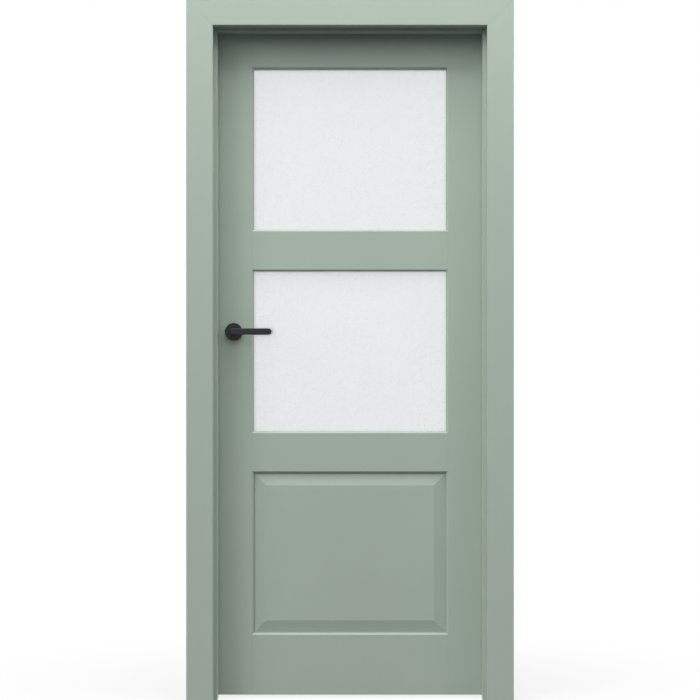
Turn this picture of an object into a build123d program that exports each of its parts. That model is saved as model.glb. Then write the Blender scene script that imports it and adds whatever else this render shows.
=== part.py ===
from build123d import *
import os

# Interior door: a rebated leaf with two glass panes and a raised panel, hung in a telescopic frame.
# X runs across the doorway, Y from the push side to the pull side, Z up from the floor.
# X = 0 is the middle of the doorway and Y = 0 is the face of the closed leaf on the push side.
# Frame sections are drawn from the edge of the clear doorway outwards, and the same section runs
# up both sides and along the head.

os.makedirs("parts", exist_ok=True)

# Doorway and wall
clear_width = 798
clear_height = 2011
wall_thickness = 100

# Lining boards
lining_thickness = 24
lining_depth = 54
seal_gap = 4
lining_round = 1.2

# Casings, and the tongue that slides in the lining
casing_width = 79
casing_thickness = 16
casing_round = 2.2
front_strip = 10.5
tongue_thickness = 7.5
tongue_length = 57.5
tongue_groove_depth = 28
tongue_fit = 0.1
mitre_line = 0.6

# Rebate casing: how far its edge stands back, and the block that carries strike and hinges
rebate_step = 13
rebate_block_width = 30
spline_thickness = 4
spline_depth = 8
spline_inset = 3

# Seal in the rebate
seal_stem = 3
seal_stem_depth = 7
seal_stem_inset = 5.5
seal_lip_width = 8
seal_lip_room = 0.3

# Corner brackets behind the lining
bracket_leg = 38
bracket_width = 16
bracket_thickness = 2
bracket_screw_radius = 1.75
bracket_screw_length = 14
bracket_screw_first = 20
bracket_screw_spacing = 11
bracket_head_radius = 3

# Leaf
leaf_thickness = 40
leaf_rebate = 25
leaf_lip = 12
leaf_side_gap = 3
leaf_face_gap = 0.5
floor_gap = 7
front_arris = 1.2
back_arris = 2
moulding = 5
stile_face = 111.5
top_rail_face = 122
cross_rail_face = 116
bottom_rail_face = 182
upper_glass_height = 498
lower_glass_height = 496
seam_width = 1.1

# Dowels between rails and stiles
dowel_radius = 7
dowel_length = 80
dowel_spacing = 56
bottom_dowel_spacing = 90

# Glazing
glass_thickness = 4
glass_setback = 15
glass_edge_cover = 10
gasket_thickness = 1
gasket_lap = 2
glazing_rebate = 12
bead_pin_radius = 0.8
bead_pin_length = 22
bead_pin_margin = 60
bead_pin_setback = 7

# Raised panel
field_setback = 3
panel_edge_setback = 11
panel_margin = 3
bevel_width = 35
panel_tongue_setback = 13
panel_tongue_cover = 9
panel_groove = 10
panel_room = 0.5

# Mortise latch, its places measured from the spindle
handle_height = 1108.5
backset = 56.5
forend_length = 235
forend_width = 20
forend_thickness = 3
forend_round = 0.5
forend_screw_spacing = 212
forend_drop = 12.5
screw_radius = 2
screw_head_radius = 4
forend_screw_length = 25
case_depth = 82
case_height = 165
case_thickness = 14
case_wall = 1.5
mortise_room = 0.5
latch_height = 24
latch_rise = 17
latch_thickness = 10.4
latch_throw = 11
latch_head_length = 23
latch_hole_room = 0.3
latch_tail_height = 12
latch_nose = 2
latch_tail_thickness = 5
latch_tail_end = 9
follower_radius = 9.5
follower_finger_width = 6
follower_finger_reach = 17
follower_heel_reach = 14
follower_heel_width = 5
finger_room = 0.6
notch_room = 0.8
spindle_side = 8
spindle_fit = 0.05
running_fit = 0.08
press_fit = 0.01
latch_spring_radius = 3
latch_spring_wire = 0.8
latch_spring_turns = 6
return_spring_thickness = 0.8
return_spring_width = 8
return_spring_length = 56
return_spring_socket = 9
seat_room = 0.3

# Handles
rosette_radius = 26.5
rosette_thickness = 9
rosette_wall = 1.4
rosette_round = 1.5
rosette_hole_room = 0.4
base_thickness = 6
neck_radius = 9
neck_start = 1
lever_height = 19.3
lever_reach = 116.5
lever_thickness = 10
lever_projection = 60
lever_round = 3
spindle_socket = 32
spindle_hole_radius = 10
rosette_screw_spacing = 38
rosette_screw_head = 3.5
screw_hole_room = 0.4
grub_screw_radius = 2.5
grub_screw_setback = 17

# Strike plate
strike_length = 170
strike_thickness = 2
strike_corner = 4
strike_hole_room = 1
strike_pocket_room = 2
strike_pocket_depth = 14
strike_screw_spacing = 140
strike_screw_length = 20

# Hinges
hinge_axis_out = 8
hinge_axis_forward = 7
sleeve_radius = 7.5
sleeve_length = 45
sleeve_cap = 4
sleeve_round = 1.5
hinge_gap = 0.3
pin_radius = 3.5
pin_rise = 40
pin_top_room = 1
bush_wall = 1
bush_flange = 1
bush_length = 37
hinge_bolt_radius = 4
hinge_bolt_length = 50
hinge_bolt_first = 12
hinge_bolt_spacing = 22
frame_bolt_depth = 20
lug_width = 10
lug_height = 34
lug_drop = 5
lower_hinge_height = 250
upper_hinge_drop = 245

# Frame planes and edges worked out from the sizes above
half_clear = clear_width / 2
lining_back = -seal_gap
lining_front = lining_back - lining_depth
lip_back = leaf_rebate - leaf_face_gap
wall_back = lip_back - casing_thickness
wall_front = wall_back - wall_thickness
front_face = wall_front - casing_thickness
tongue_end = wall_front + tongue_length
groove_bottom = lining_front + tongue_groove_depth
frame_reach = rebate_step + casing_width
stem_out = (seal_stem_inset, seal_stem_inset + seal_stem)
spline_out = (rebate_step + spline_inset, rebate_step + spline_inset + spline_thickness)
bracket_y = (groove_bottom + lining_back - spline_depth) / 2

# Leaf edges worked out from the sizes above
leaf_inner_half = half_clear + rebate_step - leaf_side_gap
leaf_outer_half = leaf_inner_half + leaf_lip
leaf_inner_top = clear_height + rebate_step - leaf_side_gap
leaf_top = leaf_inner_top + leaf_lip
seam_half = leaf_inner_half - stile_face
sight_half = seam_half - moulding
bead_front = glass_setback + glass_thickness + gasket_thickness

# Heights of the rails' visible faces, from the top down
top_rail_low = leaf_top - top_rail_face
upper_cross_high = top_rail_low - upper_glass_height
upper_cross_low = upper_cross_high - cross_rail_face
lower_cross_high = upper_cross_low - lower_glass_height
lower_cross_low = lower_cross_high - cross_rail_face
bottom_rail_high = floor_gap + bottom_rail_face

# Lock and hinge places
spindle_x = -leaf_inner_half + backset
lock_y = leaf_rebate / 2
forend_x = -leaf_inner_half
case_front = forend_x + forend_thickness
case_back = case_front + case_depth
case_middle_z = handle_height - forend_drop
case_low = case_middle_z - case_height / 2
case_high = case_middle_z + case_height / 2
case_near = lock_y - case_thickness / 2
case_far = lock_y + case_thickness / 2
latch_z = handle_height + latch_rise
hinge_x = leaf_outer_half + hinge_axis_out
hinge_y = leaf_thickness + hinge_axis_forward
pin_depth = sleeve_length - sleeve_cap
bush_radius = pin_radius + running_fit + bush_wall
leaf_bolt_reach = hinge_bolt_length / 2**0.5
hinge_heights = {
    "lower": lower_hinge_height,
    "middle": (lower_hinge_height + leaf_top - upper_hinge_drop) / 2,
    "upper": leaf_top - upper_hinge_drop,
}

# Section planes: local x runs outwards from the doorway, local y runs along Y
left_section = Plane(origin=(-half_clear, 0, 0), x_dir=(-1, 0, 0), z_dir=(0, 0, -1))
head_section = Plane(origin=(0, 0, clear_height), x_dir=(0, 0, 1), z_dir=(-1, 0, 0))
left_mitre = Plane(origin=(-half_clear, 0, clear_height), z_dir=(1, 0, 1))
right_mitre = Plane(origin=(half_clear, 0, clear_height), z_dir=(-1, 0, 1))
left_mitre_line = Plane(origin=(-half_clear, front_face, clear_height), x_dir=(0, 1, 0), z_dir=(-1, 0, 1))
right_mitre_line = Plane(origin=(half_clear, front_face, clear_height), x_dir=(0, 1, 0), z_dir=(1, 0, 1))
mitre_reach = (frame_reach + casing_thickness) * 2**0.5
jamb_blank = clear_height + frame_reach
head_blank = half_clear + frame_reach

# Faces of the leaf: local x across the leaf, local y up
push_face = Plane(origin=(0, 0, 0), x_dir=(-1, 0, 0), z_dir=(0, 1, 0))
pull_face = Plane(origin=(0, leaf_thickness, 0), x_dir=(1, 0, 0), z_dir=(0, -1, 0))

# Openings of the leaf, as the low and high edge of each between the rails' faces
upper_glass_opening = (upper_cross_high, top_rail_low)
lower_glass_opening = (lower_cross_high, upper_cross_low)
panel_opening = (bottom_rail_high, lower_cross_low)
glass_openings = {"upper": upper_glass_opening, "lower": lower_glass_opening}

# How a shape stands on its point: from its low corner, or up from the middle of its base
CORNER = (Align.MIN, Align.MIN)
UPWARD = (Align.CENTER, Align.CENTER, Align.MIN)


def strip(out, depth, mode=Mode.ADD):
    """A rectangle of a section, from out[0] to out[1] outwards and depth[0] to depth[1] along Y."""
    with Locations((out[0], depth[0])):
        Rectangle(out[1] - out[0], depth[1] - depth[0], align=CORNER, mode=mode)


def block(x, y, z, mode=Mode.ADD):
    """A box between the low and high limits given along each axis."""
    with Locations(((x[0] + x[1]) / 2, (y[0] + y[1]) / 2, (z[0] + z[1]) / 2)):
        Box(x[1] - x[0], y[1] - y[0], z[1] - z[0], mode=mode)


def rod(start, end, radius, mode=Mode.ADD):
    """A round bar from one point to another, or the hole for one."""
    along = Vector(*end) - Vector(*start)
    with Locations(Plane(origin=start, z_dir=along)):
        Cylinder(radius, along.length, align=UPWARD, mode=mode)


def countersunk(head, direction, shank_radius, head_radius, length, mode=Mode.ADD, room=0.0):
    """A countersunk screw with the top of its head at one point, driven in along a direction."""
    with Locations(Plane(origin=head, z_dir=direction)):
        Cone(head_radius + room, shank_radius + room, head_radius - shank_radius, align=UPWARD, mode=mode)
        Cylinder(shank_radius + room, length + room, align=UPWARD, mode=mode)
        if mode == Mode.ADD:
            Box(head_radius, shank_radius / 3, shank_radius, mode=Mode.SUBTRACT)
            Box(shank_radius / 3, head_radius, shank_radius, mode=Mode.SUBTRACT)


def finish(piece, name):
    """Name a finished piece and write it out."""
    piece.part.label = name
    export_step(piece.part, f"parts/{name}.step")


# Frame


def lining_section():
    """The lining board, with grooves for the casing's tongue, the seal and the rebate casing's spline."""
    strip((0, lining_thickness), (lining_front, lining_back))
    groove = (front_strip - tongue_fit, front_strip + tongue_thickness + tongue_fit)
    strip(groove, (lining_front, groove_bottom), mode=Mode.SUBTRACT)
    strip(stem_out, (lining_back - seal_stem_depth, lining_back), mode=Mode.SUBTRACT)
    strip(spline_out, (lining_back - spline_depth, lining_back), mode=Mode.SUBTRACT)


def front_casing_section():
    """The casing of the push side: a flat face and the tongue that slides in the lining."""
    strip((front_strip, front_strip + casing_width), (front_face, wall_front))
    strip((front_strip, front_strip + tongue_thickness), (wall_front, tongue_end))


def rebate_casing_section():
    """The casing of the pull side: a flat face, the block behind the rebate, and its spline."""
    strip((rebate_step, rebate_step + casing_width), (wall_back, lip_back))
    strip((rebate_step, rebate_step + rebate_block_width), (lining_back, wall_back))
    strip(spline_out, (lining_back - spline_depth, lining_back))


def seal_section():
    """The seal: a stem pressed into the lining and a lip that the leaf closes on."""
    strip(stem_out, (lining_back - seal_stem_depth, lining_back))
    middle = seal_stem_inset + seal_stem / 2
    strip((middle - seal_lip_width / 2, middle + seal_lip_width / 2), (lining_back, -seal_lip_room))


def bracket_legs(side, mode=Mode.ADD):
    """The two legs of one corner bracket, flush with the linings' backs, or the recess for them."""
    corner_x = side * (half_clear + lining_thickness)
    corner_z = clear_height + lining_thickness
    across = (bracket_y - bracket_width / 2, bracket_y + bracket_width / 2)
    upright_x = sorted((corner_x, corner_x - side * bracket_thickness))
    head_x = sorted((corner_x, corner_x - side * bracket_leg))
    block(upright_x, across, (corner_z - bracket_leg, corner_z), mode)
    block(head_x, across, (corner_z - bracket_thickness, corner_z), mode)


def bracket_screw_places(side):
    """Head places and directions of one corner bracket's screws, two in the upright and two in the head."""
    corner_x = side * (half_clear + lining_thickness)
    corner_z = clear_height + lining_thickness
    reaches = (bracket_screw_first, bracket_screw_first + bracket_screw_spacing)
    upright = [((corner_x, bracket_y, corner_z - reach), (-side, 0, 0)) for reach in reaches]
    across = [((corner_x - side * reach, bracket_y, corner_z), (0, 0, -1)) for reach in reaches]
    return upright, across


def bracket_screw(place, mode=Mode.ADD, room=0.0):
    """One corner bracket screw at its place, or the hole for it."""
    countersunk(*place, bracket_screw_radius, bracket_head_radius, bracket_screw_length, mode, room)


with BuildPart() as lining_left:
    with BuildSketch(left_section) as section:
        lining_section()
        fillet(section.vertices().group_by(Axis.Y)[0].sort_by(Axis.X)[0], lining_round)
    extrude(amount=-jamb_blank)
    split(bisect_by=left_mitre, keep=Keep.BOTTOM)
    bracket_legs(-1, Mode.SUBTRACT)
    for place in bracket_screw_places(-1)[0]:
        bracket_screw(place, Mode.SUBTRACT, press_fit)
finish(lining_left, "lining_left")

with BuildPart() as lining_right:
    mirror(lining_left.part, about=Plane.YZ)
finish(lining_right, "lining_right")

with BuildPart() as lining_head:
    with BuildSketch(head_section) as section:
        lining_section()
        fillet(section.vertices().group_by(Axis.Y)[0].sort_by(Axis.X)[0], lining_round)
    extrude(amount=head_blank, both=True)
    split(bisect_by=left_mitre, keep=Keep.TOP)
    split(bisect_by=right_mitre, keep=Keep.TOP)
    for side in (-1, 1):
        bracket_legs(side, Mode.SUBTRACT)
        for place in bracket_screw_places(side)[1]:
            bracket_screw(place, Mode.SUBTRACT, press_fit)
finish(lining_head, "lining_head")

with BuildPart() as front_casing_left:
    with BuildSketch(left_section) as section:
        front_casing_section()
        fillet(section.vertices().group_by(Axis.Y)[0], casing_round)
    extrude(amount=-jamb_blank)
    split(bisect_by=left_mitre, keep=Keep.BOTTOM)
    with BuildSketch(left_mitre_line):
        Rectangle(mitre_line, mitre_line, rotation=45)
    extrude(amount=mitre_reach, mode=Mode.SUBTRACT)
finish(front_casing_left, "front_casing_left")

with BuildPart() as front_casing_right:
    mirror(front_casing_left.part, about=Plane.YZ)
finish(front_casing_right, "front_casing_right")

with BuildPart() as front_casing_head:
    with BuildSketch(head_section) as section:
        front_casing_section()
        fillet(section.vertices().group_by(Axis.Y)[0], casing_round)
    extrude(amount=head_blank, both=True)
    split(bisect_by=left_mitre, keep=Keep.TOP)
    split(bisect_by=right_mitre, keep=Keep.TOP)
    with BuildSketch(left_mitre_line, right_mitre_line):
        Rectangle(mitre_line, mitre_line, rotation=45)
    extrude(amount=mitre_reach, mode=Mode.SUBTRACT)
finish(front_casing_head, "front_casing_head")

# Both uprights are cut from one blank; the left one takes the strike plate and a pocket for the latch
strike_face = -half_clear - rebate_step
strike_screw_places = [
    ((strike_face, lock_y, latch_z + side * strike_screw_spacing / 2), (-1, 0, 0)) for side in (-1, 1)
]

with BuildPart() as rebate_upright:
    with BuildSketch(left_section) as section:
        rebate_casing_section()
        fillet(section.vertices().group_by(Axis.Y)[-1], casing_round)
    extrude(amount=-jamb_blank)
    split(bisect_by=left_mitre, keep=Keep.BOTTOM)

with BuildPart() as rebate_casing_left:
    add(rebate_upright.part)
    with BuildSketch(Plane(origin=(strike_face, lock_y, latch_z), x_dir=(0, 1, 0), z_dir=(-1, 0, 0))):
        RectangleRounded(forend_width, strike_length, strike_corner)
    extrude(amount=strike_thickness, mode=Mode.SUBTRACT)
    block(
        (strike_face - strike_thickness - strike_pocket_depth, strike_face),
        (
            lock_y - latch_thickness / 2 - strike_pocket_room,
            lock_y + latch_thickness / 2 + strike_pocket_room,
        ),
        (latch_z - latch_height / 2 - strike_pocket_room, latch_z + latch_height / 2 + strike_pocket_room),
        mode=Mode.SUBTRACT,
    )
    for head, way in strike_screw_places:
        countersunk(
            head, way, screw_radius, screw_head_radius, strike_screw_length, Mode.SUBTRACT, press_fit
        )
finish(rebate_casing_left, "rebate_casing_left")

# The right one takes the bolts of the hinges' frame parts
frame_bolt_drops = (hinge_bolt_first, hinge_bolt_first + hinge_bolt_spacing)

with BuildPart() as rebate_casing_right:
    mirror(rebate_upright.part, about=Plane.YZ)
    for height in hinge_heights.values():
        for drop in frame_bolt_drops:
            rod(
                (hinge_x, lip_back + 1, height - drop),
                (hinge_x, lip_back - frame_bolt_depth - seat_room, height - drop),
                hinge_bolt_radius + press_fit,
                mode=Mode.SUBTRACT,
            )
finish(rebate_casing_right, "rebate_casing_right")

with BuildPart() as rebate_casing_head:
    with BuildSketch(head_section) as section:
        rebate_casing_section()
        fillet(section.vertices().group_by(Axis.Y)[-1], casing_round)
    extrude(amount=head_blank, both=True)
    split(bisect_by=left_mitre, keep=Keep.TOP)
    split(bisect_by=right_mitre, keep=Keep.TOP)
finish(rebate_casing_head, "rebate_casing_head")

with BuildPart() as frame_seal:
    with BuildLine():
        Polyline(
            (-half_clear, 0, 0),
            (-half_clear, 0, clear_height),
            (half_clear, 0, clear_height),
            (half_clear, 0, 0),
        )
    with BuildSketch(Plane(origin=(-half_clear, 0, 0), x_dir=(-1, 0, 0), z_dir=(0, 0, -1))):
        seal_section()
    sweep(transition=Transition.RIGHT)
finish(frame_seal, "frame_seal")

with BuildPart() as corner_brackets:
    for side in (-1, 1):
        bracket_legs(side)
        upright, across = bracket_screw_places(side)
        for place in upright + across:
            bracket_screw(place, Mode.SUBTRACT, press_fit)
finish(corner_brackets, "corner_brackets")

with BuildPart() as corner_bracket_screws:
    for side in (-1, 1):
        upright, across = bracket_screw_places(side)
        for place in upright + across:
            bracket_screw(place)
finish(corner_bracket_screws, "corner_bracket_screws")

with BuildPart() as strike_plate:
    with BuildSketch(Plane(origin=(strike_face, lock_y, latch_z), x_dir=(0, 1, 0), z_dir=(-1, 0, 0))):
        RectangleRounded(forend_width, strike_length, strike_corner)
        Rectangle(
            latch_thickness + 2 * strike_hole_room, latch_height + 2 * strike_hole_room, mode=Mode.SUBTRACT
        )
    extrude(amount=strike_thickness)
    for head, way in strike_screw_places:
        countersunk(
            head, way, screw_radius, screw_head_radius, strike_screw_length, Mode.SUBTRACT, press_fit
        )
finish(strike_plate, "strike_plate")

with BuildPart() as strike_screws:
    for head, way in strike_screw_places:
        countersunk(head, way, screw_radius, screw_head_radius, strike_screw_length)
finish(strike_screws, "strike_screws")

# Hinges: each has a frame part below, a leaf part above, a pin through both and a bush in the leaf part

for name, height in hinge_heights.items():
    with BuildPart() as hinge_frame_part:
        rod((hinge_x, hinge_y, height - sleeve_length), (hinge_x, hinge_y, height), sleeve_radius)
        fillet(hinge_frame_part.edges().sort_by(Axis.Z)[0], sleeve_round)
        block(
            (hinge_x - lug_width / 2, hinge_x + lug_width / 2),
            (lip_back, hinge_y),
            (height - lug_drop - lug_height, height - lug_drop),
        )
        for drop in frame_bolt_drops:
            rod(
                (hinge_x, lip_back, height - drop),
                (hinge_x, lip_back - frame_bolt_depth, height - drop),
                hinge_bolt_radius,
            )
        rod(
            (hinge_x, hinge_y, height - pin_depth),
            (hinge_x, hinge_y, height + 1),
            pin_radius + press_fit,
            mode=Mode.SUBTRACT,
        )
    finish(hinge_frame_part, f"hinge_frame_part_{name}")

    leaf_sleeve_low = height + hinge_gap + bush_flange
    with BuildPart() as hinge_leaf_part:
        rod(
            (hinge_x, hinge_y, leaf_sleeve_low),
            (hinge_x, hinge_y, leaf_sleeve_low + sleeve_length),
            sleeve_radius,
        )
        fillet(hinge_leaf_part.edges().sort_by(Axis.Z)[-1], sleeve_round)
        for rise in frame_bolt_drops:
            rod(
                (hinge_x, hinge_y, height + rise),
                (hinge_x - leaf_bolt_reach, hinge_y - leaf_bolt_reach, height + rise),
                hinge_bolt_radius,
            )
        rod(
            (hinge_x, hinge_y, leaf_sleeve_low - 1),
            (hinge_x, hinge_y, height + pin_rise + pin_top_room),
            bush_radius + press_fit,
            mode=Mode.SUBTRACT,
        )
    finish(hinge_leaf_part, f"hinge_leaf_part_{name}")

with BuildPart() as hinge_bushes:
    for height in hinge_heights.values():
        flange_low = height + hinge_gap
        rod((hinge_x, hinge_y, flange_low), (hinge_x, hinge_y, flange_low + bush_flange), sleeve_radius)
        rod((hinge_x, hinge_y, flange_low), (hinge_x, hinge_y, flange_low + bush_length), bush_radius)
        rod(
            (hinge_x, hinge_y, height),
            (hinge_x, hinge_y, height + sleeve_length),
            pin_radius + running_fit,
            mode=Mode.SUBTRACT,
        )
finish(hinge_bushes, "hinge_bushes")

with BuildPart() as hinge_pins:
    for height in hinge_heights.values():
        rod((hinge_x, hinge_y, height - pin_depth), (hinge_x, hinge_y, height + pin_rise), pin_radius)
finish(hinge_pins, "hinge_pins")

# Leaf: one blank with every opening, rebate and joint hole, which the stiles and rails divide between them


def mouth(opening, face):
    """The bevelled mouth of an opening, cut in from one face of the leaf."""
    low, high = opening
    with BuildPart() as bevel:
        with BuildSketch(face):
            with Locations((0, (low + high) / 2)):
                Rectangle(2 * seam_half, high - low)
        extrude(amount=moulding, taper=45)
    return bevel.part


def sight(opening, cover=0.0):
    """Low and high limits of what an opening shows, or of a piece held that much deeper at its edges."""
    low, high = opening
    return (low + moulding - cover, high - moulding + cover)


def sight_width(cover=0.0):
    """The same across the leaf."""
    return (-sight_half - cover, sight_half + cover)


def dowel_places(rail):
    """Ends of the dowels that join one rail to both stiles."""
    spread = bottom_dowel_spacing if rail == "bottom_rail" else dowel_spacing
    low, high = rails[rail]
    middle = (low + min(high, leaf_inner_top)) / 2
    inner = seam_half - dowel_length / 2
    outer = seam_half + dowel_length / 2
    return [(side * inner, side * outer, middle + up * spread / 2) for side in (-1, 1) for up in (-1, 1)]


def bead_pin_places(opening):
    """Start and end of each pin that holds a pane's beads, three to a bead."""
    depth = bead_front + bead_pin_setback
    low, high = sight(opening)
    ups = (low + bead_pin_margin, (low + high) / 2, high - bead_pin_margin)
    across = (-sight_half + bead_pin_margin, 0, sight_half - bead_pin_margin)
    far = sight_half + bead_pin_length
    sides = [((side * sight_half, depth, up), (side * far, depth, up)) for side in (-1, 1) for up in ups]
    tops = [((x, depth, high), (x, depth, high + bead_pin_length)) for x in across]
    feet = [((x, depth, low), (x, depth, low - bead_pin_length)) for x in across]
    return sides + tops + feet


rails = {
    "top_rail": (top_rail_low, leaf_top),
    "upper_cross_rail": (upper_cross_low, upper_cross_high),
    "lower_cross_rail": (lower_cross_low, lower_cross_high),
    "bottom_rail": (floor_gap, bottom_rail_high),
}

with BuildPart() as leaf_blank:
    block((-leaf_inner_half, leaf_inner_half), (0, leaf_rebate), (floor_gap, leaf_inner_top))
    block((-leaf_outer_half, leaf_outer_half), (leaf_rebate, leaf_thickness), (floor_gap, leaf_top))
    fillet(leaf_blank.faces().sort_by(Axis.Y)[0].edges(), front_arris)
    fillet(leaf_blank.faces().sort_by(Axis.Y)[-1].edges(), back_arris)
    for opening in (upper_glass_opening, lower_glass_opening, panel_opening):
        block(sight_width(), (-1, leaf_thickness + 1), sight(opening), mode=Mode.SUBTRACT)
        add(mouth(opening, push_face), mode=Mode.SUBTRACT)
    for opening in glass_openings.values():
        block(
            sight_width(glazing_rebate),
            (glass_setback - gasket_thickness, leaf_thickness + 1),
            sight(opening, glazing_rebate),
            mode=Mode.SUBTRACT,
        )
        for start, end in bead_pin_places(opening):
            rod(start, end, bead_pin_radius + press_fit, mode=Mode.SUBTRACT)
    add(mouth(panel_opening, pull_face), mode=Mode.SUBTRACT)
    block(
        sight_width(panel_groove),
        (panel_tongue_setback, leaf_thickness - panel_tongue_setback),
        sight(panel_opening, panel_groove),
        mode=Mode.SUBTRACT,
    )
    for rail, (low, high) in rails.items():
        with BuildSketch(Plane.XY.offset(low)):
            with Locations(*[(x, y) for x in (-seam_half, seam_half) for y in (0, leaf_thickness)]):
                Rectangle(seam_width, seam_width, rotation=45)
        extrude(amount=high - low, mode=Mode.SUBTRACT)
        for inner, outer, up in dowel_places(rail):
            rod(
                (inner, leaf_thickness / 2, up),
                (outer, leaf_thickness / 2, up),
                dowel_radius + press_fit,
                mode=Mode.SUBTRACT,
            )


def rail_outline(rail):
    """A rail's outline on the leaf's face, its ends coped round the stiles' mouldings."""
    low, high = rails[rail]
    foot = 0 if rail == "bottom_rail" else moulding
    top = 0 if rail == "top_rail" else moulding
    right_end = [
        (seam_half - foot, low - foot),
        (seam_half, low),
        (seam_half, high),
        (seam_half - top, high + top),
    ]
    left_end = [(-x, z) for x, z in reversed(right_end)]
    points = right_end + left_end
    return [point for place, point in enumerate(points) if point not in points[:place]]


for rail in rails:
    with BuildPart() as piece:
        add(leaf_blank.part)
        with BuildSketch(push_face):
            Polygon(*rail_outline(rail), align=None)
        extrude(amount=leaf_thickness, mode=Mode.INTERSECT)
    finish(piece, rail)

with BuildPart() as stile_pair:
    add(leaf_blank.part)
    with BuildSketch(push_face):
        for rail in rails:
            Polygon(*rail_outline(rail), align=None)
    extrude(amount=leaf_thickness, mode=Mode.SUBTRACT)

# Rosette screws stand level with the spindle, one each side of it
rosette_screw_places = [
    (spindle_x + side * rosette_screw_spacing / 2, handle_height) for side in (-1, 1)
]
forend_screw_places = [
    ((forend_x, lock_y, case_middle_z + side * forend_screw_spacing / 2), (1, 0, 0)) for side in (-1, 1)
]

with BuildPart() as lock_stile:
    add(stile_pair.part)
    split(bisect_by=Plane.YZ, keep=Keep.BOTTOM)
    block(
        (forend_x - 1, case_front),
        (lock_y - forend_width / 2, lock_y + forend_width / 2),
        (case_middle_z - forend_length / 2, case_middle_z + forend_length / 2),
        mode=Mode.SUBTRACT,
    )
    block(
        (forend_x, case_back + mortise_room),
        (case_near - mortise_room, case_far + mortise_room),
        (case_low - mortise_room, case_high + mortise_room),
        mode=Mode.SUBTRACT,
    )
    rod(
        (spindle_x, -1, handle_height),
        (spindle_x, leaf_thickness + 1, handle_height),
        spindle_hole_radius,
        mode=Mode.SUBTRACT,
    )
    for x, z in rosette_screw_places:
        rod((x, -1, z), (x, leaf_thickness + 1, z), screw_radius + screw_hole_room, mode=Mode.SUBTRACT)
    for head, way in forend_screw_places:
        countersunk(
            head, way, screw_radius, screw_head_radius, forend_screw_length, Mode.SUBTRACT, press_fit
        )
finish(lock_stile, "lock_stile")

with BuildPart() as hinge_stile:
    add(stile_pair.part)
    split(bisect_by=Plane.YZ, keep=Keep.TOP)
    for height in hinge_heights.values():
        for rise in frame_bolt_drops:
            rod(
                (hinge_x, hinge_y, height + rise),
                (
                    hinge_x - leaf_bolt_reach - seat_room,
                    hinge_y - leaf_bolt_reach - seat_room,
                    height + rise,
                ),
                hinge_bolt_radius + press_fit,
                mode=Mode.SUBTRACT,
            )
finish(hinge_stile, "hinge_stile")

with BuildPart() as rail_dowels:
    for rail in rails:
        for inner, outer, up in dowel_places(rail):
            rod((inner, leaf_thickness / 2, up), (outer, leaf_thickness / 2, up), dowel_radius)
finish(rail_dowels, "rail_dowels")

# Glass, gaskets and beads


def corners(half, limits):
    """The four corners of a rectangle on the leaf's face, round from its lower left."""
    low, high = limits
    return [(-half, low), (half, low), (half, high), (-half, high)]


for pane, opening in glass_openings.items():
    glass_depth = (glass_setback, glass_setback + glass_thickness)
    with BuildPart() as glass:
        block(sight_width(glass_edge_cover), glass_depth, sight(opening, glass_edge_cover))
    finish(glass, f"{pane}_glass")

    with BuildPart() as gasket:
        block(
            sight_width(glazing_rebate),
            (glass_setback - gasket_thickness, bead_front),
            sight(opening, glazing_rebate),
        )
        block(
            sight_width(gasket_lap),
            (glass_setback - gasket_thickness - 1, bead_front + 1),
            sight(opening, gasket_lap),
            mode=Mode.SUBTRACT,
        )
        block(
            sight_width(glass_edge_cover), glass_depth, sight(opening, glass_edge_cover), mode=Mode.SUBTRACT
        )
    finish(gasket, f"{pane}_gasket")

    inner_corners = corners(sight_half, sight(opening))
    outer_corners = corners(sight_half + glazing_rebate, sight(opening, glazing_rebate))
    for corner, side in enumerate(("bottom", "right", "top", "left")):
        ends = (corner, (corner + 1) % 4)
        outline = [outer_corners[end] for end in ends] + [inner_corners[end] for end in reversed(ends)]
        with BuildPart() as bead:
            with BuildSketch(pull_face):
                Polygon(*outline, align=None)
            extrude(amount=leaf_thickness - bead_front)
            add(mouth(opening, pull_face), mode=Mode.SUBTRACT)
            for start, end in bead_pin_places(opening):
                rod(start, end, bead_pin_radius + press_fit, mode=Mode.SUBTRACT)
        finish(bead, f"{pane}_bead_{side}")

with BuildPart() as bead_pins:
    for opening in glass_openings.values():
        for start, end in bead_pin_places(opening):
            rod(start, end, bead_pin_radius)
finish(bead_pins, "bead_pins")

# Raised panel: a tongue in the grooves, a flat margin, then bevels up to the field on both faces

with BuildPart() as raised_panel:
    block(
        sight_width(panel_tongue_cover),
        (panel_tongue_setback, leaf_thickness - panel_tongue_setback),
        sight(panel_opening, panel_tongue_cover),
    )
    block(
        sight_width(-panel_room),
        (panel_edge_setback, leaf_thickness - panel_edge_setback),
        sight(panel_opening, -panel_room),
    )
    panel_low, panel_high = sight(panel_opening, -panel_margin)
    for face in (push_face, pull_face):
        with BuildSketch(face.offset(panel_edge_setback)):
            with Locations((0, (panel_low + panel_high) / 2)):
                Rectangle(2 * (sight_half - panel_margin), panel_high - panel_low)
        with BuildSketch(face.offset(field_setback)):
            with Locations((0, (panel_low + panel_high) / 2)):
                Rectangle(
                    2 * (sight_half - panel_margin - bevel_width),
                    panel_high - panel_low - 2 * bevel_width,
                )
        loft()
finish(raised_panel, "raised_panel")

# Mortise latch

latch_tail_low = handle_height + follower_finger_reach - latch_tail_height / 3
spring_x = spindle_x - follower_heel_width / 2 - seat_room
spring_high = handle_height - follower_radius - 1
inner_near = case_near + case_wall
inner_far = case_far - case_wall

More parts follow.
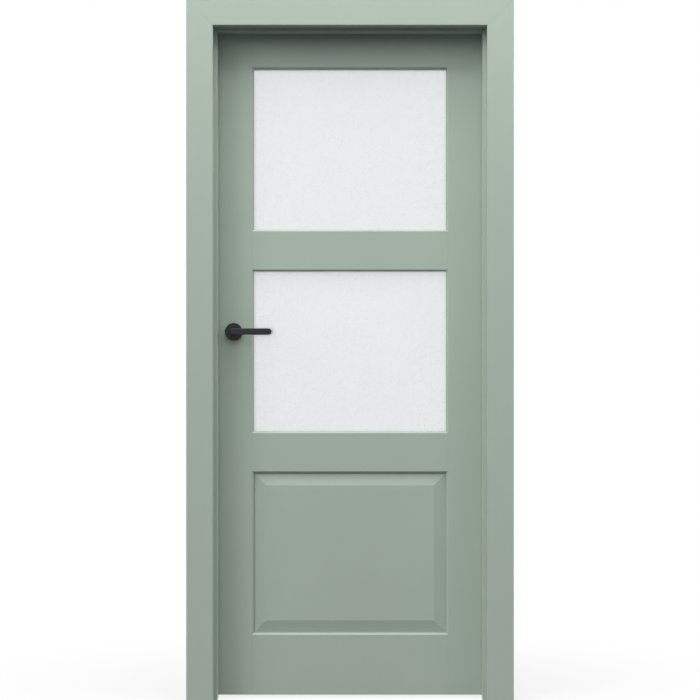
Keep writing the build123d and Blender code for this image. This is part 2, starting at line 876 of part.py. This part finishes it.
with BuildPart() as forend:
    block(
        (forend_x, case_front),
        (lock_y - forend_width / 2, lock_y + forend_width / 2),
        (case_middle_z - forend_length / 2, case_middle_z + forend_length / 2),
    )
    fillet(forend.faces().sort_by(Axis.X)[0].edges(), forend_round)
    block(
        (forend_x - 1, case_front + 1),
        (inner_near, inner_far),
        (latch_z - latch_height / 2 - latch_hole_room, latch_z + latch_height / 2 + latch_hole_room),
        mode=Mode.SUBTRACT,
    )
    for head, way in forend_screw_places:
        countersunk(
            head, way, screw_radius, screw_head_radius, forend_screw_length, Mode.SUBTRACT, press_fit
        )
finish(forend, "forend")

with BuildPart() as forend_screws:
    for head, way in forend_screw_places:
        countersunk(head, way, screw_radius, screw_head_radius, forend_screw_length)
finish(forend_screws, "forend_screws")


def case_holes():
    """Holes through both walls of the lock case for the follower and the rosette screws."""
    rod(
        (spindle_x, case_near - 1, handle_height),
        (spindle_x, case_far + 1, handle_height),
        follower_radius + running_fit,
        mode=Mode.SUBTRACT,
    )
    for x, z in rosette_screw_places:
        rod((x, case_near - 1, z), (x, case_far + 1, z), screw_radius + screw_hole_room, mode=Mode.SUBTRACT)


with BuildPart() as lock_case:
    block((case_front, case_back), (case_near, inner_far), (case_low, case_high))
    block(
        (case_front + case_wall, case_back - case_wall),
        (inner_near, inner_far + 1),
        (case_low + case_wall, case_high - case_wall),
        mode=Mode.SUBTRACT,
    )
    block(
        (case_front - 1, case_front + case_wall + 1),
        (inner_near, inner_far + 1),
        (latch_z - latch_height / 2 - latch_hole_room, latch_z + latch_height / 2 + latch_hole_room),
        mode=Mode.SUBTRACT,
    )
    case_holes()
    for low_x in (spring_x - return_spring_thickness - return_spring_socket, spring_x):
        block(
            (low_x, low_x + return_spring_socket),
            (inner_near, inner_far),
            (spring_high - return_spring_length, spring_high - return_spring_length + return_spring_socket),
        )
finish(lock_case, "lock_case")

with BuildPart() as lock_cover:
    block((case_front, case_back), (inner_far, case_far), (case_low, case_high))
    case_holes()
finish(lock_cover, "lock_cover")

with BuildPart() as follower:
    rod((spindle_x, case_near, handle_height), (spindle_x, case_far, handle_height), follower_radius)
    finger_depth = (lock_y - latch_tail_thickness / 2, lock_y + latch_tail_thickness / 2)
    block(
        (spindle_x - follower_finger_width / 2, spindle_x + follower_finger_width / 2),
        finger_depth,
        (handle_height, handle_height + follower_finger_reach),
    )
    tip_z = handle_height + follower_finger_reach
    rod((spindle_x, finger_depth[0], tip_z), (spindle_x, finger_depth[1], tip_z), follower_finger_width / 2)
    block(
        (spindle_x - follower_heel_width / 2, spindle_x + follower_heel_width / 2),
        finger_depth,
        (handle_height - follower_heel_reach, handle_height),
    )
    block(
        (spindle_x - spindle_side / 2 - spindle_fit, spindle_x + spindle_side / 2 + spindle_fit),
        (case_near - 1, case_far + 1),
        (handle_height - spindle_side / 2 - spindle_fit, handle_height + spindle_side / 2 + spindle_fit),
        mode=Mode.SUBTRACT,
    )
finish(follower, "follower")

with BuildPart() as latch_bolt:
    nose_x = forend_x - latch_throw
    head_end = nose_x + latch_head_length
    near_y = lock_y - latch_thickness / 2
    far_y = lock_y + latch_thickness / 2
    with BuildSketch(Plane.XY.offset(latch_z - latch_height / 2)):
        Polygon(
            (nose_x, far_y),
            (nose_x, far_y - latch_nose),
            (forend_x - latch_nose / 2, near_y),
            (head_end, near_y),
            (head_end, far_y),
            align=None,
        )
    extrude(amount=latch_height)
    block(
        (head_end, spindle_x + latch_tail_end),
        finger_depth,
        (latch_tail_low, latch_tail_low + latch_tail_height),
    )
    block(
        (
            spindle_x - follower_finger_width / 2 - latch_throw - finger_room,
            spindle_x + follower_finger_width / 2 + finger_room,
        ),
        (near_y, far_y),
        (latch_tail_low - 1, tip_z + follower_finger_width / 2 + notch_room),
        mode=Mode.SUBTRACT,
    )
finish(latch_bolt, "latch_bolt")

# The latch spring pushes from the back wall of the case on the end of the latch's tail
spring_start = spindle_x + latch_tail_end + seat_room + latch_spring_wire / 2
spring_run = case_back - case_wall - seat_room - latch_spring_wire / 2 - spring_start

with BuildPart() as latch_spring:
    with BuildLine() as coil:
        Helix(
            pitch=spring_run / latch_spring_turns,
            height=spring_run,
            radius=latch_spring_radius,
            center=(spring_start, lock_y, latch_tail_low + latch_tail_height / 2),
            direction=(1, 0, 0),
        )
    with BuildSketch(Plane(origin=coil.line @ 0, z_dir=coil.line % 0)):
        Circle(latch_spring_wire / 2)
    sweep(is_frenet=True)
finish(latch_spring, "latch_spring")

with BuildPart() as follower_spring:
    block(
        (spring_x - return_spring_thickness, spring_x),
        (lock_y - return_spring_width / 2, lock_y + return_spring_width / 2),
        (spring_high - return_spring_length, spring_high),
    )
finish(follower_spring, "follower_spring")

# Handles

middle_plane = Plane(origin=(0, leaf_thickness / 2, 0), x_dir=(1, 0, 0), z_dir=(0, -1, 0))
handle_axis = Plane(origin=(spindle_x, 0, handle_height), x_dir=(1, 0, 0), z_dir=(0, -1, 0))
spindle_reach = spindle_socket - neck_start

with BuildPart() as spindle:
    block(
        (spindle_x - spindle_side / 2, spindle_x + spindle_side / 2),
        (-spindle_reach, leaf_thickness + spindle_reach),
        (handle_height - spindle_side / 2, handle_height + spindle_side / 2),
    )
finish(spindle, "spindle")

with BuildPart() as lever_front:
    with BuildSketch(handle_axis.offset(lever_projection - lever_thickness)):
        with Locations(((lever_reach - lever_height / 2) / 2, 0)):
            SlotOverall(lever_reach + lever_height / 2, lever_height)
    extrude(amount=lever_thickness)
    fillet(lever_front.faces().sort_by(Axis.Y)[0].edges(), lever_round)
    fillet(lever_front.faces().sort_by(Axis.Y)[-1].edges(), lever_round)
    rod(
        (spindle_x, -neck_start, handle_height),
        (spindle_x, lever_thickness / 2 - lever_projection, handle_height),
        neck_radius,
    )
    block(
        (spindle_x - spindle_side / 2 - spindle_fit, spindle_x + spindle_side / 2 + spindle_fit),
        (-spindle_socket, 0),
        (handle_height - spindle_side / 2 - spindle_fit, handle_height + spindle_side / 2 + spindle_fit),
        mode=Mode.SUBTRACT,
    )
    rod(
        (spindle_x, -grub_screw_setback, handle_height),
        (spindle_x, -grub_screw_setback, handle_height - neck_radius - 1),
        grub_screw_radius + press_fit,
        mode=Mode.SUBTRACT,
    )
finish(lever_front, "lever_front")

with BuildPart() as lever_back:
    mirror(lever_front.part, about=middle_plane)
finish(lever_back, "lever_back")

with BuildPart() as grub_screws:
    for y in (-grub_screw_setback, leaf_thickness + grub_screw_setback):
        rod(
            (spindle_x, y, handle_height - spindle_side / 2),
            (spindle_x, y, handle_height - neck_radius + seat_room),
            grub_screw_radius,
        )
finish(grub_screws, "grub_screws")

with BuildPart() as rosette_front:
    with BuildSketch(handle_axis):
        Circle(rosette_radius)
    extrude(amount=rosette_thickness)
    fillet(rosette_front.faces().sort_by(Axis.Y)[0].edges(), rosette_round)
    with BuildSketch(handle_axis):
        Circle(rosette_radius - rosette_wall)
    extrude(amount=rosette_thickness - rosette_wall, mode=Mode.SUBTRACT)
    with BuildSketch(handle_axis):
        Circle(neck_radius + rosette_hole_room)
    extrude(amount=rosette_thickness, mode=Mode.SUBTRACT)
finish(rosette_front, "rosette_front")

with BuildPart() as rosette_back:
    mirror(rosette_front.part, about=middle_plane)
finish(rosette_back, "rosette_back")

base_radius = rosette_radius - rosette_wall - spindle_fit
rosette_screw_length = base_thickness + leaf_thickness + base_thickness - case_wall

with BuildPart() as rosette_base_blank:
    with BuildSketch(handle_axis):
        Circle(base_radius)
        Circle(neck_radius + running_fit, mode=Mode.SUBTRACT)
    extrude(amount=base_thickness)


def rosette_screw(x, z, mode=Mode.ADD, room=0.0):
    """One screw that runs through the lock stile from the front rosette base to the back one."""
    countersunk(
        (x, -base_thickness, z),
        (0, 1, 0),
        screw_radius,
        rosette_screw_head,
        rosette_screw_length,
        mode,
        room,
    )


with BuildPart() as rosette_base_front:
    add(rosette_base_blank.part)
    for x, z in rosette_screw_places:
        rosette_screw(x, z, Mode.SUBTRACT, press_fit)
finish(rosette_base_front, "rosette_base_front")

with BuildPart() as rosette_base_back:
    mirror(rosette_base_blank.part, about=middle_plane)
    for x, z in rosette_screw_places:
        rosette_screw(x, z, Mode.SUBTRACT, press_fit)
finish(rosette_base_back, "rosette_base_back")

with BuildPart() as rosette_screws:
    for x, z in rosette_screw_places:
        rosette_screw(x, z)
finish(rosette_screws, "rosette_screws")
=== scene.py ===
import math

import bpy
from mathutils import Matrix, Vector


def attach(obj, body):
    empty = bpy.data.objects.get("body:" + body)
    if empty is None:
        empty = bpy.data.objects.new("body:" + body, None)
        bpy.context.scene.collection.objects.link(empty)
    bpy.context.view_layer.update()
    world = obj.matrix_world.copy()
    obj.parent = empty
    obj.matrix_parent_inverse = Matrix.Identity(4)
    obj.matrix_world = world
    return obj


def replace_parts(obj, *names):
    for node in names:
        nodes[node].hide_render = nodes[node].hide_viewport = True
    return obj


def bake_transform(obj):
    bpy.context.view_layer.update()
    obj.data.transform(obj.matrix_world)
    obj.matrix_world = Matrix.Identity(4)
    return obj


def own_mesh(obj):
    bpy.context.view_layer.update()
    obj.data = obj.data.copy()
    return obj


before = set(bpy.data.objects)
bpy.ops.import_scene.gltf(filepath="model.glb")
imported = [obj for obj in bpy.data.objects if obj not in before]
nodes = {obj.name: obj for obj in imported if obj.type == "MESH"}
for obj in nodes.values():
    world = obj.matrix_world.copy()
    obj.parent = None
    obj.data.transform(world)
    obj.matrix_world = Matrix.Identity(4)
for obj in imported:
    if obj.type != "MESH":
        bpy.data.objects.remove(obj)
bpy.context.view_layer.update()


def new_material(name):
    """An empty material and its shader's sockets, ready for procedural inputs."""
    mat = bpy.data.materials.new(name)
    mat.use_nodes = True
    tree = mat.node_tree
    tree.nodes.clear()
    out = tree.nodes.new("ShaderNodeOutputMaterial")
    shader = tree.nodes.new("ShaderNodeBsdfPrincipled")
    tree.links.new(shader.outputs["BSDF"], out.inputs["Surface"])
    return mat, tree, shader


def noise(tree, stretch, scale, detail=3.0, roughness=0.5):
    """Noise over the piece in its own space, stretched by the factors given along X, Y and Z."""
    coords = tree.nodes.new("ShaderNodeTexCoord")
    mapping = tree.nodes.new("ShaderNodeMapping")
    mapping.inputs["Scale"].default_value = stretch
    texture = tree.nodes.new("ShaderNodeTexNoise")
    texture.inputs["Scale"].default_value = scale
    texture.inputs["Detail"].default_value = detail
    texture.inputs["Roughness"].default_value = roughness
    tree.links.new(coords.outputs["Object"], mapping.inputs["Vector"])
    tree.links.new(mapping.outputs["Vector"], texture.inputs["Vector"])
    return texture.outputs["Fac"]


def blend(tree, factor, first, second):
    """A colour between two, by a factor from a texture."""
    ramp = tree.nodes.new("ShaderNodeValToRGB")
    ramp.color_ramp.elements[0].position = 0.3
    ramp.color_ramp.elements[1].position = 0.7
    ramp.color_ramp.elements[0].color = (*first, 1)
    ramp.color_ramp.elements[1].color = (*second, 1)
    tree.links.new(factor, ramp.inputs["Fac"])
    return ramp.outputs["Color"]


def spread(tree, factor, low, high):
    """A value between two limits, by a factor from a texture."""
    span = tree.nodes.new("ShaderNodeMapRange")
    span.inputs["From Min"].default_value = 0.3
    span.inputs["From Max"].default_value = 0.7
    span.inputs["To Min"].default_value = low
    span.inputs["To Max"].default_value = high
    tree.links.new(factor, span.inputs["Value"])
    return span.outputs["Result"]


def relief(tree, height, strength, distance, under=None):
    """A bump from a texture's height, on top of another bump if there is one."""
    bump = tree.nodes.new("ShaderNodeBump")
    bump.inputs["Strength"].default_value = strength
    bump.inputs["Distance"].default_value = distance
    tree.links.new(height, bump.inputs["Height"])
    if under is not None:
        tree.links.new(under, bump.inputs["Normal"])
    return bump.outputs["Normal"]


def tint(colour, amount):
    """A colour made lighter or darker by a share."""
    return tuple(channel * (1 + amount) for channel in colour)


def paint(name, colour, grain):
    """Sprayed satin paint over timber: faint clouding, a soft spray texture and a trace of the grain."""
    mat, tree, shader = new_material(name)
    clouds = noise(tree, (1, 1, 1), 5.0, 4.0, 0.6)
    shade = blend(tree, clouds, tint(colour, -0.012), tint(colour, 0.012))
    tree.links.new(shade, shader.inputs["Base Color"])
    spray = noise(tree, (1, 1, 1), 420.0, 2.0)
    streaks = noise(tree, grain, 90.0, 4.0, 0.65)
    tree.links.new(spread(tree, streaks, 0.40, 0.48), shader.inputs["Roughness"])
    fibres = relief(tree, streaks, 0.25, 0.00012)
    tree.links.new(relief(tree, spray, 0.2, 0.00008, fibres), shader.inputs["Normal"])
    shader.inputs["Specular IOR Level"].default_value = 0.35
    return mat


def opal(name, colour):
    """Satin opal glass: milky in its body, with slow clouding and a satin skin that blurs unevenly."""
    mat, tree, shader = new_material(name)
    clouds = noise(tree, (1, 1, 1), 3.0, 3.0, 0.5)
    shade = blend(tree, clouds, tint(colour, -0.008), tint(colour, 0.008))
    tree.links.new(shade, shader.inputs["Base Color"])
    skin = noise(tree, (1, 1, 1), 900.0, 2.0)
    tree.links.new(spread(tree, skin, 0.26, 0.34), shader.inputs["Roughness"])
    shader.inputs["Transmission Weight"].default_value = 0.8
    shader.inputs["IOR"].default_value = 1.5
    return mat


def metal(name, colour, rough, brush, mark=0.03):
    """Metal or coated metal with fine marks that run the way the brush factors stretch them."""
    mat, tree, shader = new_material(name)
    marks = noise(tree, brush, 600.0, 3.0, 0.6)
    shade = blend(tree, marks, tint(colour, -mark), tint(colour, mark))
    tree.links.new(shade, shader.inputs["Base Color"])
    tree.links.new(spread(tree, marks, rough - 0.05, rough + 0.05), shader.inputs["Roughness"])
    tree.links.new(relief(tree, marks, 0.15, 0.00003), shader.inputs["Normal"])
    shader.inputs["Metallic"].default_value = 1.0
    return mat


def black_coat(name, colour, rough, brush):
    """Satin black coating, marked as the metal under it is."""
    mat = metal(name, colour, rough, brush)
    shader = mat.node_tree.nodes["Principled BSDF"]
    shader.inputs["Metallic"].default_value = 0.0
    shader.inputs["Specular IOR Level"].default_value = 0.2
    return mat


def soft(name, colour, rough):
    """Soft seal material: matt, with a fine moulded texture."""
    mat, tree, shader = new_material(name)
    skin = noise(tree, (1, 1, 1), 700.0, 2.0)
    shade = blend(tree, skin, tint(colour, -0.06), tint(colour, 0.06))
    tree.links.new(shade, shader.inputs["Base Color"])
    tree.links.new(spread(tree, skin, rough - 0.05, rough + 0.05), shader.inputs["Roughness"])
    tree.links.new(relief(tree, skin, 0.2, 0.00005), shader.inputs["Normal"])
    return mat


def timber(name, light, dark, grain):
    """Bare timber with growth rings drawn out along the grain."""
    mat, tree, shader = new_material(name)
    rings = noise(tree, grain, 220.0, 5.0, 0.6)
    tree.links.new(blend(tree, rings, dark, light), shader.inputs["Base Color"])
    tree.links.new(spread(tree, rings, 0.55, 0.7), shader.inputs["Roughness"])
    tree.links.new(relief(tree, rings, 0.4, 0.0001), shader.inputs["Normal"])
    return mat


sage = (0.379, 0.452, 0.390)
upright_paint = paint("sage_paint_upright", sage, (1, 1, 0.03))
across_paint = paint("sage_paint_across", sage, (0.03, 1, 1))
opal_glass = opal("opal_glass", (0.865, 0.885, 0.885))
black_lever = black_coat("black_satin_lever", (0.020, 0.021, 0.022), 0.42, (0.1, 1, 1))
black_rosette = black_coat("black_satin_rosette", (0.025, 0.026, 0.027), 0.42, (1, 1, 1))
nickel = metal("satin_nickel", (0.56, 0.55, 0.53), 0.34, (1, 1, 0.05))
steel = metal("bright_steel", (0.60, 0.61, 0.62), 0.26, (0.05, 1, 1))
zinc = metal("zinc_plate", (0.62, 0.64, 0.67), 0.38, (1, 1, 1), mark=0.08)
iron = metal("cast_base", (0.27, 0.27, 0.28), 0.55, (1, 1, 1), mark=0.08)
brass = metal("bush_brass", (0.72, 0.56, 0.28), 0.30, (1, 1, 0.1))
seal_rubber = soft("seal_rubber", (0.070, 0.080, 0.072), 0.65)
gasket_rubber = soft("gasket_rubber", (0.45, 0.48, 0.46), 0.55)
beech = timber("dowel_beech", (0.68, 0.52, 0.34), (0.52, 0.37, 0.22), (0.04, 1, 1))

finishes = {
    upright_paint: [
        "lining_left",
        "lining_right",
        "front_casing_left",
        "front_casing_right",
        "rebate_casing_left",
        "rebate_casing_right",
        "lock_stile",
        "hinge_stile",
        "upper_bead_left",
        "upper_bead_right",
        "lower_bead_left",
        "lower_bead_right",
        "raised_panel",
    ],
    across_paint: [
        "lining_head",
        "front_casing_head",
        "rebate_casing_head",
        "top_rail",
        "upper_cross_rail",
        "lower_cross_rail",
        "bottom_rail",
        "upper_bead_top",
        "upper_bead_bottom",
        "lower_bead_top",
        "lower_bead_bottom",
    ],
    opal_glass: ["upper_glass", "lower_glass"],
    black_lever: ["lever_front", "lever_back"],
    black_rosette: ["rosette_front", "rosette_back"],
    iron: ["rosette_base_front", "rosette_base_back"],
    nickel: [
        "hinge_frame_part_lower",
        "hinge_frame_part_middle",
        "hinge_frame_part_upper",
        "hinge_leaf_part_lower",
        "hinge_leaf_part_middle",
        "hinge_leaf_part_upper",
    ],
    steel: [
        "hinge_pins",
        "strike_plate",
        "forend",
        "latch_bolt",
        "follower",
        "spindle",
        "latch_spring",
        "follower_spring",
    ],
    zinc: [
        "corner_brackets",
        "corner_bracket_screws",
        "strike_screws",
        "forend_screws",
        "rosette_screws",
        "bead_pins",
        "lock_case",
        "lock_cover",
        "grub_screws",
    ],
    brass: ["hinge_bushes"],
    seal_rubber: ["frame_seal"],
    gasket_rubber: ["upper_gasket", "lower_gasket"],
    beech: ["rail_dowels"],
}
for finish, names in finishes.items():
    for name in names:
        nodes[name].data.materials.clear()
        nodes[name].data.materials.append(finish)


def moving_copy(node_name):
    """The scene's own copy of a spring, a part that changes shape in the working latch, with the imported
    spring hidden.
    """
    spring = bpy.data.objects.new(node_name + "_moving", nodes[node_name].data.copy())
    bpy.context.scene.collection.objects.link(spring)
    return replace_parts(spring, node_name)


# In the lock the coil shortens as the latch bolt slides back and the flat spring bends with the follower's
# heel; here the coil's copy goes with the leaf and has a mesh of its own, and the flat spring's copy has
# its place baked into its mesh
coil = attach(moving_copy("latch_spring"), "leaf")
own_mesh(coil)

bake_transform(moving_copy("follower_spring"))


# The floor: its size and its drop below the door's foot in metres, the light it gives back to the
# door, and how it pales from some white near the door to plain white between two distances in metres
floor_size = 60
floor_drop = 0.0005
floor_bounce = 0.1
white_near = 0.8
pale_from = 0.3
pale_to = 1.6


def white(tree, shader_type):
    """A plain white glow."""
    glow = tree.nodes.new(shader_type)
    glow.inputs["Color"].default_value = (1, 1, 1, 1)
    glow.inputs["Strength"].default_value = 1.0
    return glow.outputs[0]


def either(tree, factor, first, second):
    """One shader where the factor is 0 and the other where it is 1."""
    mix = tree.nodes.new("ShaderNodeMixShader")
    tree.links.new(factor, mix.inputs["Fac"])
    tree.links.new(first, mix.inputs[1])
    tree.links.new(second, mix.inputs[2])
    return mix.outputs["Shader"]


def mirrored(tree, paths):
    """A factor of 1 for rays that come off a gloss or through the glass, and 0 for the others."""
    either_way = tree.nodes.new("ShaderNodeMath")
    either_way.operation = "MAXIMUM"
    tree.links.new(paths.outputs["Is Glossy Ray"], either_way.inputs[0])
    tree.links.new(paths.outputs["Is Transmission Ray"], either_way.inputs[1])
    return either_way.outputs["Value"]


def floor_material():
    """A pale floor with the door's shadows near it, plain white further off, in gloss and in glass."""
    mat, tree, shader = new_material("pale_floor")
    grain = noise(tree, (1, 1, 1), 40.0, 3.0)
    shade = blend(tree, grain, (0.79, 0.79, 0.79), (0.81, 0.81, 0.81))
    shader.inputs["Roughness"].default_value = 0.9
    shader.inputs["Specular IOR Level"].default_value = 0.0
    paths = tree.nodes.new("ShaderNodeLightPath")
    dimmed = tree.nodes.new("ShaderNodeMix")
    dimmed.data_type = "RGBA"
    tree.links.new(paths.outputs["Is Camera Ray"], dimmed.inputs["Factor"])
    dimmed.inputs["A"].default_value = (floor_bounce, floor_bounce, floor_bounce, 1)
    tree.links.new(shade, dimmed.inputs["B"])
    tree.links.new(dimmed.outputs["Result"], shader.inputs["Base Color"])
    coords = tree.nodes.new("ShaderNodeTexCoord")
    length = tree.nodes.new("ShaderNodeVectorMath")
    length.operation = "LENGTH"
    tree.links.new(coords.outputs["Object"], length.inputs[0])
    far = tree.nodes.new("ShaderNodeMapRange")
    far.interpolation_type = "SMOOTHSTEP"
    far.inputs["From Min"].default_value = pale_from
    far.inputs["From Max"].default_value = pale_to
    far.inputs["To Min"].default_value = white_near
    tree.links.new(length.outputs["Value"], far.inputs["Value"])
    seen = tree.nodes.new("ShaderNodeMath")
    seen.operation = "MULTIPLY_ADD"
    tree.links.new(far.outputs["Result"], seen.inputs[0])
    tree.links.new(paths.outputs["Is Camera Ray"], seen.inputs[1])
    tree.links.new(mirrored(tree, paths), seen.inputs[2])
    glow = white(tree, "ShaderNodeEmission")
    whole = either(tree, seen.outputs["Value"], shader.outputs["BSDF"], glow)
    tree.links.new(whole, tree.nodes["Material Output"].inputs["Surface"])
    return mat


bpy.ops.mesh.primitive_plane_add(size=floor_size, location=(0, 0, -floor_drop))
floor = bpy.context.object
floor.name = "floor"
floor.data.materials.append(floor_material())


def backdrop(front_light, back_light):
    """A dim room in front and a brighter one behind, white to the camera, in gloss and in glass."""
    world = bpy.data.worlds.new("room")
    bpy.context.scene.world = world
    world.use_nodes = True
    tree = world.node_tree
    tree.nodes.clear()
    out = tree.nodes.new("ShaderNodeOutputWorld")
    coords = tree.nodes.new("ShaderNodeTexCoord")
    split = tree.nodes.new("ShaderNodeSeparateXYZ")
    tree.links.new(coords.outputs["Generated"], split.inputs["Vector"])
    side = tree.nodes.new("ShaderNodeMapRange")
    side.inputs["From Min"].default_value = 0.2
    side.inputs["From Max"].default_value = 0.7
    side.inputs["To Min"].default_value = front_light
    side.inputs["To Max"].default_value = back_light
    tree.links.new(split.outputs["Y"], side.inputs["Value"])
    room = tree.nodes.new("ShaderNodeBackground")
    tree.links.new(side.outputs["Result"], room.inputs["Strength"])
    paths = tree.nodes.new("ShaderNodeLightPath")
    seen = tree.nodes.new("ShaderNodeMath")
    seen.operation = "MAXIMUM"
    tree.links.new(paths.outputs["Is Camera Ray"], seen.inputs[0])
    tree.links.new(mirrored(tree, paths), seen.inputs[1])
    glow = white(tree, "ShaderNodeBackground")
    whole = either(tree, seen.outputs["Value"], room.outputs["Background"], glow)
    tree.links.new(whole, out.inputs["Surface"])


def far_light(name, turn, lift, softness, strength):
    """A soft light from far off: turned to the right of the door's front, lifted and spread, in degrees."""
    data = bpy.data.lights.new(name, "SUN")
    data.angle = math.radians(softness)
    data.energy = strength
    lamp = bpy.data.objects.new(name, data)
    lamp.rotation_euler = (math.radians(90 - lift), 0, math.radians(turn))
    bpy.context.scene.collection.objects.link(lamp)


def softbox(name, place, aim, size, power):
    """A soft light at a place, turned to face its aim."""
    data = bpy.data.lights.new(name, "AREA")
    data.shape = "RECTANGLE"
    data.size, data.size_y = size
    data.energy = power
    lamp = bpy.data.objects.new(name, data)
    lamp.location = place
    lamp.rotation_euler = (Vector(aim) - Vector(place)).to_track_quat("-Z", "Y").to_euler()
    bpy.context.scene.collection.objects.link(lamp)


backdrop(0.02, 1.15)
softbox("softbox_steep", (0, -0.75, 4.3), (0, -0.3, 0.8), (3.0, 0.7), 59)
softbox("softbox_above", (0, -1.8, 4.4), (0, 0, 1.0), (3.0, 1.0), 54)
far_light("front_left", -20, 30, 45, 0.55)
far_light("left", -45, 27, 35, 1.20)
far_light("right", 45, 25, 35, 0.56)
far_light("left_grazing", -80, 12, 18, 0.39)
far_light("right_grazing", 80, 12, 18, 0.61)

# The camera stands square to the door, a little above the middle of its height
camera_distance = 6.1075
camera_height = 1.053
view = bpy.data.cameras.new("camera")
view.sensor_width = 36
view.lens = 103.5
camera = bpy.data.objects.new("camera", view)
camera.location = (0, -camera_distance, camera_height)
camera.rotation_euler = (math.radians(90), 0, 0)
bpy.context.scene.collection.objects.link(camera)
bpy.context.scene.camera = camera
bpy.context.scene.view_settings.view_transform = "Standard"
